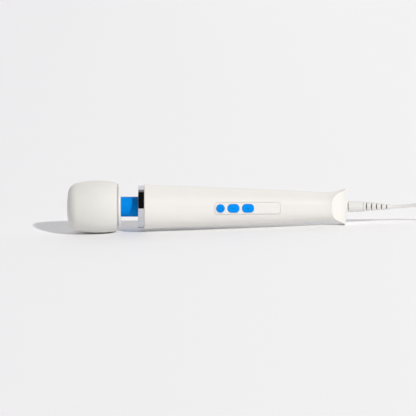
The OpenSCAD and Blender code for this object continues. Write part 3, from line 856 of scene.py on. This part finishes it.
# ---- Wall adapter, in table coordinates ----

ADAPTER_X, ADAPTER_Y = 436.0, -10.0
ADAPTER_W, ADAPTER_H = 42.0, 28.0
FACE_X = 494.0
ADAPTER_END = 498.0
BLADE_TIP = 515.0
SLEEVE_LEN = 20.0
SLEEVE_Z = 9.5
ADAPTER_RIBS = [457.0 + 6.0 * i for i in range(5)]
BLADE_PITCH = 12.7
BLADE_HALF_W = 3.15
BLADE_HALF_T = 0.75
BLADE_HOLE_R = 1.55
BLADE_STEPS = 48


def box_ring(x, inset, corner):
    """A rounded outline of the adapter, standing across x, shrunk by inset."""
    half_w, half_h = ADAPTER_W / 2 - inset, ADAPTER_H / 2 - inset
    r = max(0.3, corner - inset)
    ring = []
    for sy, sz, start in ((1, 1, 0), (-1, 1, 90), (-1, -1, 180), (1, -1, 270)):
        ring += [(x, ADAPTER_Y + y, ADAPTER_H / 2 + z)
                 for y, z in arc(sy * (half_w - r), sz * (half_h - r), r, start, start + 90, 8)]
    return ring


def box_loft(name, levels, corner=4.0):
    rings = [box_ring(x, inset, corner) for x, inset in levels]
    columns = len(rings[0])
    points = [p for ring in rings for p in ring]
    faces = grid_faces(len(rings), columns)
    faces += [tuple(range(columns)), tuple(range(len(points) - columns, len(points)))]
    return finish_mesh(name, raw_mesh(name, points, faces), TABLE, sharp=35)


def edge(x, r, way, steps=5):
    """Levels that round off an end of the adapter at x, facing +x or -x, with radius r."""
    turns = [math.radians(90 * k / steps) for k in range(steps + 1)]
    levels = [(x - way * (r - r * math.sin(a)), r - r * math.cos(a)) for a in turns]
    return levels if way > 0 else levels[::-1]


def build_adapter():
    levels = [(ADAPTER_X, 11.0), (ADAPTER_X, 6.0)] + edge(ADAPTER_X, 2.2, -1)
    for x in ADAPTER_RIBS:
        levels += [(x, 0.0), (x + 0.4, 0.35), (x + 1.4, 0.35), (x + 1.8, 0.0)]
    levels += [(FACE_X - 0.45, 0.0), (FACE_X - 0.15, 0.3), (FACE_X - 0.15, 2.2)]
    case = box_loft("adapter_shell", levels)
    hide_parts("adapter_case")
    levels = [(FACE_X, 5.0), (FACE_X, 0.3), (FACE_X + 0.3, 0.0), (ADAPTER_END - 1.6, 0.0)]
    levels += [(ADAPTER_END - 0.5, 0.45), (ADAPTER_END, 1.6), (ADAPTER_END, 5.0), (ADAPTER_END, 10.0)]
    cap = box_loft("adapter_cap", levels)
    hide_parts("adapter_face")
    return case, cap


def blade(y):
    """One flat blade with a trimmed tip and a round hole."""
    root = FACE_X - 5.0
    middle = ADAPTER_H / 2
    hole_x = BLADE_TIP - 5.0
    mid_x = (root + BLADE_TIP) / 2
    angles = [2 * math.pi * (k + 0.5) / BLADE_STEPS for k in range(BLADE_STEPS)]
    outer = [blade_edge(a, hole_x, root) for a in angles]
    hole = [(hole_x + BLADE_HOLE_R * math.cos(a), BLADE_HOLE_R * math.sin(a)) for a in angles]
    points = []
    for side, shrink in ((-BLADE_HALF_T, 0.25), (-0.5, 0.0), (0.5, 0.0), (BLADE_HALF_T, 0.25)):
        along, across = 1 - shrink / 13, 1 - shrink / BLADE_HALF_W
        points += [(mid_x + (x - mid_x) * along, y + side, middle + z * across) for x, z in outer]
    for side in (-BLADE_HALF_T, BLADE_HALF_T):
        points += [(x, y + side, middle + z) for x, z in hole]
    n = BLADE_STEPS
    faces = grid_faces(4, n)
    for near, far in ((0, 4 * n), (3 * n, 5 * n), (4 * n, 5 * n)):
        faces += [(near + k, near + (k + 1) % n, far + (k + 1) % n, far + k) for k in range(n)]
    return points, faces


def blade_edge(a, hole_x, root):
    """Where a ray from the hole's middle meets the blade's outline."""
    dx, dz = math.cos(a), math.sin(a)
    end = BLADE_TIP if dx > 0 else root
    reach = min((end - hole_x) / dx, BLADE_HALF_W / abs(dz))
    x, z = hole_x + reach * dx, reach * dz
    trim = max(0.0, abs(z) + x - (BLADE_TIP - 1.6) - BLADE_HALF_W)
    return x - trim / 2, z - math.copysign(trim / 2, z)


def build_blades():
    points, faces = [], []
    for side in (-1, 1):
        p, f = blade(ADAPTER_Y + side * BLADE_PITCH / 2)
        faces += [tuple(i + len(points) for i in face) for face in f]
        points += p
    blades = finish_mesh("adapter_pins", raw_mesh("adapter_pins", points, faces), TABLE)
    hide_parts("adapter_blades")
    return blades


def build_adapter_relief():
    """The tapered sleeve where the cord enters the adapter."""
    start, stop = ADAPTER_X - 0.02, ADAPTER_X - SLEEVE_LEN
    corners = [(start, 0, 0), (start, 5.0, 0.3)]
    for i in range(4):
        x = start - 3.0 - 4.0 * i
        r = 5.0 - 2.0 * (start - x) / SLEEVE_LEN
        corners += [(x, r, 0.3), (x - 0.2, r - 0.8, 0.25), (x - 1.3, r - 0.9, 0.25), (x - 1.5, r - 0.15, 0.3)]
    corners += [(stop, 3.0, 0.5), (stop, 0, 0)]
    outline = filleted(corners, 3)
    steps = 64
    points = []
    for x, r in outline:
        for k in range(steps):
            a = 2 * math.pi * k / steps
            points.append((x, ADAPTER_Y + r * math.cos(a), SLEEVE_Z + r * math.sin(a)))
    mesh = raw_mesh("adapter_sleeve", points, grid_faces(len(outline), steps))
    sleeve = finish_mesh("adapter_sleeve", mesh, TABLE)
    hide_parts("adapter_relief")
    return sleeve


# ---- Materials ----


class Nodes:
    """Short calls for building a material's node tree."""

    def __init__(self, name):
        self.material = bpy.data.materials.new(name)
        self.material.use_nodes = True
        self.tree = self.material.node_tree
        self.shader = self.tree.nodes["Principled BSDF"]
        self.place = self.tree.nodes.new("ShaderNodeTexCoord").outputs["Object"]

    def link(self, source, target):
        self.tree.links.new(source, target)

    def moved(self, scale=(1, 1, 1), turn=(0, 0, 0)):
        node = self.tree.nodes.new("ShaderNodeMapping")
        self.link(self.place, node.inputs["Vector"])
        node.inputs["Scale"].default_value = scale
        node.inputs["Rotation"].default_value = turn
        return node.outputs["Vector"]

    def noise(self, scale, detail=3.0, where=None, rough=0.5):
        node = self.tree.nodes.new("ShaderNodeTexNoise")
        self.link(where or self.place, node.inputs["Vector"])
        node.inputs["Scale"].default_value = scale
        node.inputs["Detail"].default_value = detail
        node.inputs["Roughness"].default_value = rough
        return node.outputs["Fac"]

    def wave(self, scale, where=None, direction="X", distortion=0.0):
        node = self.tree.nodes.new("ShaderNodeTexWave")
        self.link(where or self.place, node.inputs["Vector"])
        node.bands_direction = direction
        node.inputs["Scale"].default_value = scale
        node.inputs["Distortion"].default_value = distortion
        return node.outputs["Fac"]

    def spread(self, value, low, high, start=0.3, stop=0.7):
        node = self.tree.nodes.new("ShaderNodeMapRange")
        self.link(value, node.inputs["Value"])
        node.inputs["From Min"].default_value = start
        node.inputs["From Max"].default_value = stop
        node.inputs["To Min"].default_value = low
        node.inputs["To Max"].default_value = high
        return node.outputs["Result"]

    def times(self, a, b):
        node = self.tree.nodes.new("ShaderNodeMath")
        node.operation = "MULTIPLY"
        self.link(a, node.inputs[0])
        self.link(b, node.inputs[1])
        return node.outputs["Value"]

    def mix(self, value, first, second):
        node = self.tree.nodes.new("ShaderNodeMix")
        node.data_type = "RGBA"
        self.link(value, node.inputs["Factor"])
        node.inputs["A"].default_value = (*first, 1)
        node.inputs["B"].default_value = (*second, 1)
        return node.outputs["Result"]

    def bump(self, height, depth_mm, strength=1.0, under=None):
        node = self.tree.nodes.new("ShaderNodeBump")
        self.link(height, node.inputs["Height"])
        node.inputs["Distance"].default_value = depth_mm * MM
        node.inputs["Strength"].default_value = strength
        if under is not None:
            self.link(under, node.inputs["Normal"])
        return node.outputs["Normal"]

    def set(self, **values):
        for key, value in values.items():
            self.shader.inputs[key.replace("_", " ").title().replace("Ior", "IOR")].default_value = value

    def finish(self, colour, roughness, normal):
        self.link(colour, self.shader.inputs["Base Color"])
        self.link(roughness, self.shader.inputs["Roughness"])
        self.link(normal, self.shader.inputs["Normal"])
        return self.material


def shade(colour, factor):
    return tuple(min(1.0, c * factor) for c in colour)


def moulded(name, colour, rough, grain=700.0, depth=0.012, tint=0.03, coat=0.0, sheen=0.0, gloss=0.5):
    """Moulded plastic, rubber or silicone: faint clouding over a fine moulding grain."""
    n = Nodes(name)
    cloud = n.noise(38.0, 2.0)
    fine = n.noise(grain, 4.0, rough=0.6)
    n.set(specular_ior_level=gloss)
    if coat:
        n.set(coat_weight=coat, coat_roughness=0.12)
    if sheen:
        n.set(sheen_weight=sheen, sheen_roughness=0.5)
    tone = n.mix(n.spread(cloud, 0.0, 1.0), shade(colour, 1 - tint), shade(colour, 1 + tint))
    return n.finish(tone, n.spread(fine, rough - 0.05, rough + 0.06), n.bump(fine, depth))


def metal(name, colour, rough, stretch=(1, 18, 18), scale=160.0, depth=0.004, tint=0.06, vary=0.08):
    """Metal with fine lines across its length from turning, drawing or grinding."""
    n = Nodes(name)
    n.set(metallic=1.0)
    lines = n.noise(scale, 4.0, n.moved(stretch), 0.6)
    cloud = n.noise(60.0, 2.0)
    tone = n.mix(n.spread(cloud, 0.0, 1.0), shade(colour, 1 - tint), shade(colour, 1 + tint))
    return n.finish(tone, n.spread(lines, rough - vary, rough + vary), n.bump(lines, depth))


def wound(name, colour):
    """Copper windings: closely laid enamelled wires."""
    n = Nodes(name)
    n.set(metallic=1.0)
    wires = n.wave(900.0, direction="X")
    cloud = n.noise(220.0, 3.0)
    tone = n.mix(n.spread(cloud, 0.0, 1.0), shade(colour, 0.75), shade(colour, 1.1))
    return n.finish(tone, n.spread(wires, 0.28, 0.42), n.bump(wires, 0.12))


def circuit(name, colour):
    """Solder resist with faint tracks beneath it."""
    n = Nodes(name)
    along = n.wave(160.0, direction="X", distortion=3.0)
    tracks = n.times(along, n.wave(190.0, direction="Z", distortion=2.0))
    tone = n.mix(n.spread(tracks, 0.0, 1.0, 0.45, 0.55), colour, shade(colour, 1.7))
    return n.finish(tone, n.spread(n.noise(400.0), 0.28, 0.4), n.bump(tracks, 0.03))


def woven(name, colour):
    """A woven strap: fine ribs crossing at right angles, with a slight fuzz."""
    n = Nodes(name)
    weave = n.times(n.wave(420.0, direction="X"), n.wave(420.0, direction="DIAGONAL"))
    fuzz = n.noise(2200.0, 3.0)
    n.set(sheen_weight=0.3, sheen_roughness=0.6)
    tone = n.mix(n.spread(weave, 0.0, 1.0, 0.1, 0.8), shade(colour, 0.6), shade(colour, 1.5))
    return n.finish(tone, n.spread(fuzz, 0.8, 0.95), n.bump(weave, 0.18, under=n.bump(fuzz, 0.05)))


def make_materials():
    white = (0.85, 0.832, 0.80)
    steel = (0.56, 0.565, 0.58)
    return {
        "soft_silicone": moulded("soft_silicone", (0.765, 0.755, 0.72), 0.62, 1500.0, 0.03, 0.02, sheen=0.08),
        "core_plastic": moulded("core_plastic", white, 0.5),
        "grey_plastic": moulded("grey_plastic", (0.5, 0.5, 0.49), 0.5),
        "screw_steel": metal("screw_steel", steel, 0.3),
        "bearing_steel": metal("bearing_steel", (0.62, 0.63, 0.64), 0.18),
        "spring_steel": metal("spring_steel", (0.45, 0.46, 0.48), 0.3),
        "weight_iron": metal("weight_iron", (0.3, 0.3, 0.31), 0.55, (1, 1, 1), 500.0, 0.03),
        "collar_aluminium": metal("collar_aluminium", (0.7, 0.71, 0.73), 0.28),
        "neck_blue": moulded("neck_blue", (0.0, 0.24, 0.75), 0.5, 90.0, 0.02, 0.03, gloss=0.04),
        "black_rubber": moulded("black_rubber", (0.02, 0.02, 0.022), 0.75, 900.0, 0.05),
        "ring_chrome": metal("ring_chrome", (0.68, 0.68, 0.71), 0.045, (1, 12, 12), 120.0,
                             0.0004, 0.02, 0.015),
        "handle_white": moulded("handle_white", white, 0.36, 320.0, 0.006, 0.012, coat=0.15),
        "motor_steel": metal("motor_steel", (0.4, 0.41, 0.42), 0.35),
        "black_plastic": moulded("black_plastic", (0.012, 0.012, 0.013), 0.42, 800.0, 0.02),
        "magnet": metal("magnet", (0.09, 0.09, 0.1), 0.6, (1, 1, 1), 700.0, 0.03),
        "bush_bronze": metal("bush_bronze", (0.5, 0.32, 0.14), 0.4, (1, 1, 1), 800.0, 0.02),
        "copper": wound("copper", (0.6, 0.25, 0.09)),
        "carbon": moulded("carbon", (0.02, 0.02, 0.02), 0.6, 1200.0, 0.03),
        "board_green": circuit("board_green", (0.012, 0.09, 0.04)),
        "led_clear": moulded("led_clear", (0.75, 0.74, 0.6), 0.2, 200.0, 0.004, coat=0.6),
        "panel_white": moulded("panel_white", (0.855, 0.84, 0.815), 0.3, 420.0, 0.005, 0.01, coat=0.2),
        "button_blue": moulded("button_blue", (0.0, 0.285, 0.92), 0.5, 900.0, 0.012, 0.01, gloss=0.05),
        "icon_blue": moulded("icon_blue", (0.0, 0.18, 0.62), 0.5, 900.0, 0.006, 0.02, gloss=0.1),
        "wire_red": moulded("wire_red", (0.42, 0.02, 0.015), 0.4, 600.0, 0.01),
        "plug_nickel": metal("plug_nickel", (0.62, 0.6, 0.56), 0.2),
        "plug_white": moulded("plug_white", (0.765, 0.755, 0.73), 0.5, 900.0, 0.02, 0.02),
        # dark grey painted shade for the inside of the relief's grooves
        "groove_grey": moulded("groove_grey", (0.2, 0.195, 0.19), 0.7, 900.0, 0.02, 0.02),
        "cord_white": moulded("cord_white", (0.79, 0.78, 0.755), 0.46, 500.0, 0.03, 0.025),
        "tie_grey": woven("tie_grey", (0.035, 0.035, 0.038)),
        "adapter_white": moulded("adapter_white", (0.8, 0.79, 0.765), 0.5, 1100.0, 0.035, 0.02),
        "blade_brass": metal("blade_brass", (0.66, 0.6, 0.42), 0.25),
    }


def paint_groove_shade(relief, grey):
    """The walls inside the grooves of the plug's relief get a second, dark grey material: painted shade for
    the shadow in the narrow grooves.
    """
    relief.data.materials.append(grey)
    to_wand = WAND.inverted()
    for polygon in relief.data.polygons:
        x, y, z = to_wand @ polygon.center
        deep = math.hypot(y, z + drooped(x)) < relief_radius(x) - GROOVE_DEEP
        polygon.material_index = int(deep and RELIEF_X + 1 < x < RELIEF_END - 1)


def paint(materials):
    """Every CAD node and every piece gets its slot's material."""
    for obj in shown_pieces():
        slot = SLOT_OF.get(obj.name) or obj.get("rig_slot")
        name = "icon_blue" if obj.name.endswith("_icon") else slot
        obj.data.materials.clear()
        obj.data.materials.append(materials[name])
        # the relief's groove walls get a dark grey painted shade
        if obj.name == "plug_relief":
            paint_groove_shade(obj, materials["groove_grey"])


# ---- Table and light ----

FLOOR_REACH = 8.0
SWEEP_R = 1.5
SURROUND_TOP = 6.0


def stage_surface():
    """The table's colour: nearly white, with painted light that makes it a little brighter towards the right.
    """
    n = Nodes("table_surface")
    fine = n.noise(260.0, 2.0)
    split = n.tree.nodes.new("ShaderNodeSeparateXYZ")
    n.link(n.place, split.inputs["Vector"])
    # painted light: the colour brightens along x, standing in for the light falling off to the left
    across = n.spread(split.outputs["X"], 0.0, 1.0, -0.35, 0.35)
    tone = n.mix(across, (0.925, 0.925, 0.945), (0.985, 0.985, 1.0))
    return n.finish(tone, n.spread(fine, 0.7, 0.8), n.bump(fine, 0.004))


def build_stage():
    """A plain pale table, and a low plain surround that only the camera sees."""
    surface = stage_surface()
    rings = [(FLOOR_REACH * (i / 24) ** 2, 0.0) for i in range(25)]
    sweep = [math.radians(a) for a in range(0, 91, 6)]
    wall = [(FLOOR_REACH + SWEEP_R * math.sin(a), SWEEP_R - SWEEP_R * math.cos(a)) for a in sweep]
    wall.append((FLOOR_REACH + SWEEP_R, SURROUND_TOP))
    steps = 96
    for name, outline in (("table", rings), ("surround", wall)):
        points = [(r * math.cos(2 * math.pi * k / steps), r * math.sin(2 * math.pi * k / steps), z)
                  for r, z in outline for k in range(steps)]
        mesh = raw_mesh(name, points, grid_faces(len(outline), steps))
        stage = finish_mesh(name, mesh, Matrix.Identity(4))
        stage.data.materials.append(surface)
        stage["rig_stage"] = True
        if name == "surround":
            stage.visible_shadow = False
            stage.visible_diffuse = False
            stage.visible_glossy = False


SUN_TRAVEL = Vector((-0.885, 1.2, -1.0)).normalized()
SUN_STRENGTH = 2.2
SUN_WIDTH = 2.5
SUN_TINT = (1.0, 0.985, 0.96)
FILL_TRAVEL = Vector((-0.1, 0.6, -1.0)).normalized()
FILL_STRENGTH = 0.82
FILL_WIDTH = 110.0
WHITE = (1.0, 1.0, 1.0)
SKY_TINT = (1.0, 0.985, 0.995)
BRIGHT_SIDE = (0.0, 0.966, -0.259)
# The sky's brightness, by each direction's lean towards the bright side
SKY_BANDS = [(-0.2, 0.008), (-0.14, 0.24), (0.09, 0.27), (0.19, 0.93)]


def add_sun(name, travel, strength, width, colour):
    """A distant light that travels one way; width is its size in the sky, in degrees."""
    data = bpy.data.lights.new(name, "SUN")
    data.energy = strength
    data.angle = math.radians(width)
    data.color = colour
    sun = new_object(name, data)
    sun.rotation_mode = "QUATERNION"
    sun.rotation_quaternion = travel.to_track_quat("-Z", "Y")
    return sun


def build_light():
    """A key sun from the right front, a broad fill from above, and a sky that is bright behind."""
    add_sun("key", SUN_TRAVEL, SUN_STRENGTH, SUN_WIDTH, SUN_TINT)
    fill = add_sun("fill", FILL_TRAVEL, FILL_STRENGTH, FILL_WIDTH, WHITE)
    fill.visible_glossy = False
    world = bpy.data.worlds.new("studio")
    bpy.context.scene.world = world
    world.use_nodes = True
    tree = world.node_tree
    where = tree.nodes.new("ShaderNodeTexCoord").outputs["Generated"]
    lean = tree.nodes.new("ShaderNodeVectorMath")
    lean.operation = "DOT_PRODUCT"
    lean.inputs[1].default_value = BRIGHT_SIDE
    tree.links.new(where, lean.inputs[0])
    spread = tree.nodes.new("ShaderNodeMapRange")
    spread.inputs["From Min"].default_value = -1.0
    tree.links.new(lean.outputs["Value"], spread.inputs["Value"])
    ramp = tree.nodes.new("ShaderNodeValToRGB")
    tree.links.new(spread.outputs["Result"], ramp.inputs["Fac"])
    stops = ramp.color_ramp.elements
    while len(stops) < len(SKY_BANDS):
        stops.new(0.5)
    for stop, (place, level) in zip(stops, SKY_BANDS):
        stop.position = (place + 1) / 2
        stop.color = (level * SKY_TINT[0], level * SKY_TINT[1], level * SKY_TINT[2], 1)
    tree.links.new(ramp.outputs["Color"], tree.nodes["Background"].inputs["Color"])
    bpy.context.scene.view_settings.view_transform = "Standard"


# ---- Putting it together ----


def build_supply():
    cord, length = build_cord()
    plug, relief, tie = build_plug(), build_relief(), build_tie()
    case, cap = build_adapter()
    pins, sleeve = build_blades(), build_adapter_relief()
    slots = {cord: "cord_white", plug: "plug_white", relief: "plug_white", tie: "tie_grey",
             case: "adapter_white", cap: "adapter_white", pins: "blade_brass", sleeve: "plug_white"}
    for piece, name in slots.items():
        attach(piece, "supply_set")
        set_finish(piece, name)


add_camera()
build_supply()
build_head()
build_neck()
build_ring()
build_handle()
build_panel()
for key_name in KEYS:
    build_key(key_name)
    build_icon(key_name)
build_socket()
build_stage()
build_light()
paint(make_materials())
